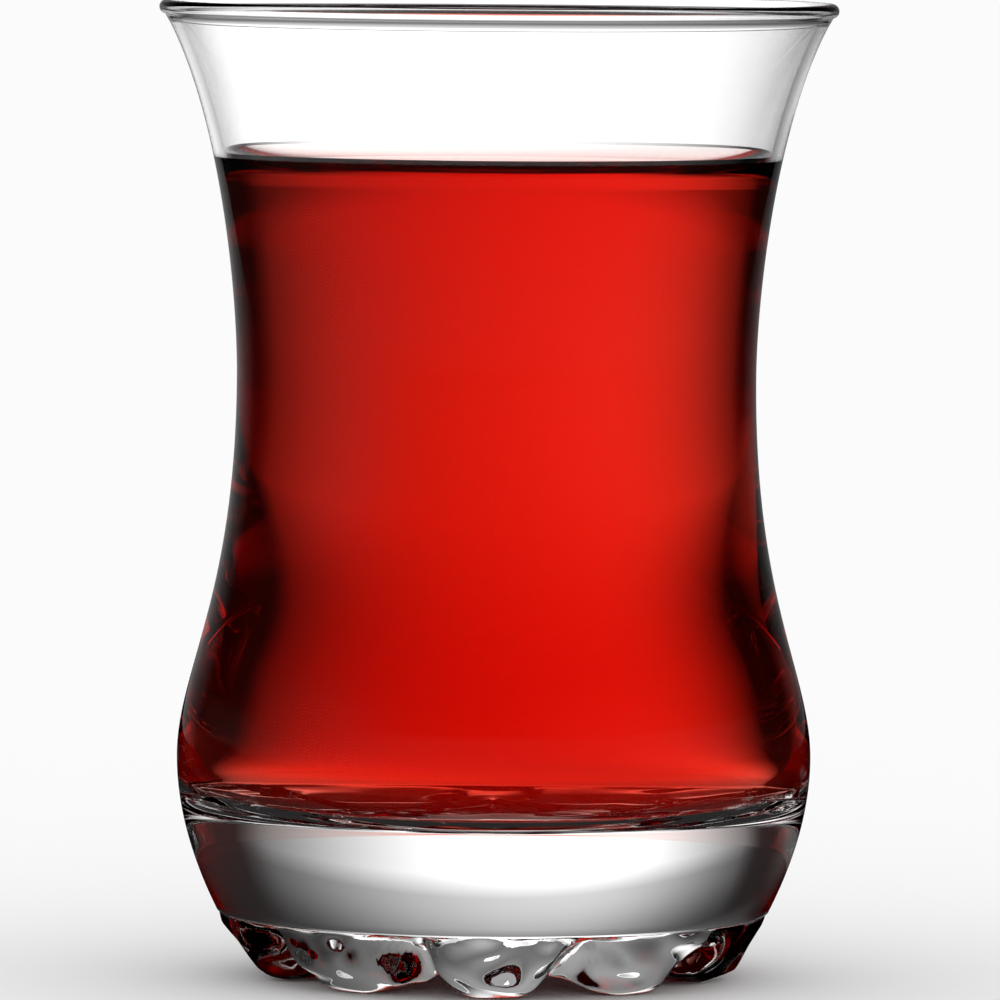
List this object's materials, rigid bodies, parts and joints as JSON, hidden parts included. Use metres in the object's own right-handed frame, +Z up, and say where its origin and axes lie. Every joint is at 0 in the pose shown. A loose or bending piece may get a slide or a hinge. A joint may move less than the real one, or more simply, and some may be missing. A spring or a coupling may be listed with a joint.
{
  "type": "turkish tea glass",
  "caption": "Waisted clear tea glass with a rolled rim, heavy base and rounded petal feet, filled with red tea.",
  "frame": {"origin": "centre of the circle of feet, on the table plane", "axes": "+Z up along the axis of the glass, -Y the side seen in the picture, with one foot in front"},
  "size_m": [0.0618, 0.0618, 0.089],
  "materials": {
    "glass": "clear, fire-polished",
    "tea": "clear red liquid"
  },
  "bodies": {
    "root": {"glass": "glass", "tea": "tea"}
  },
  "joints": []
}
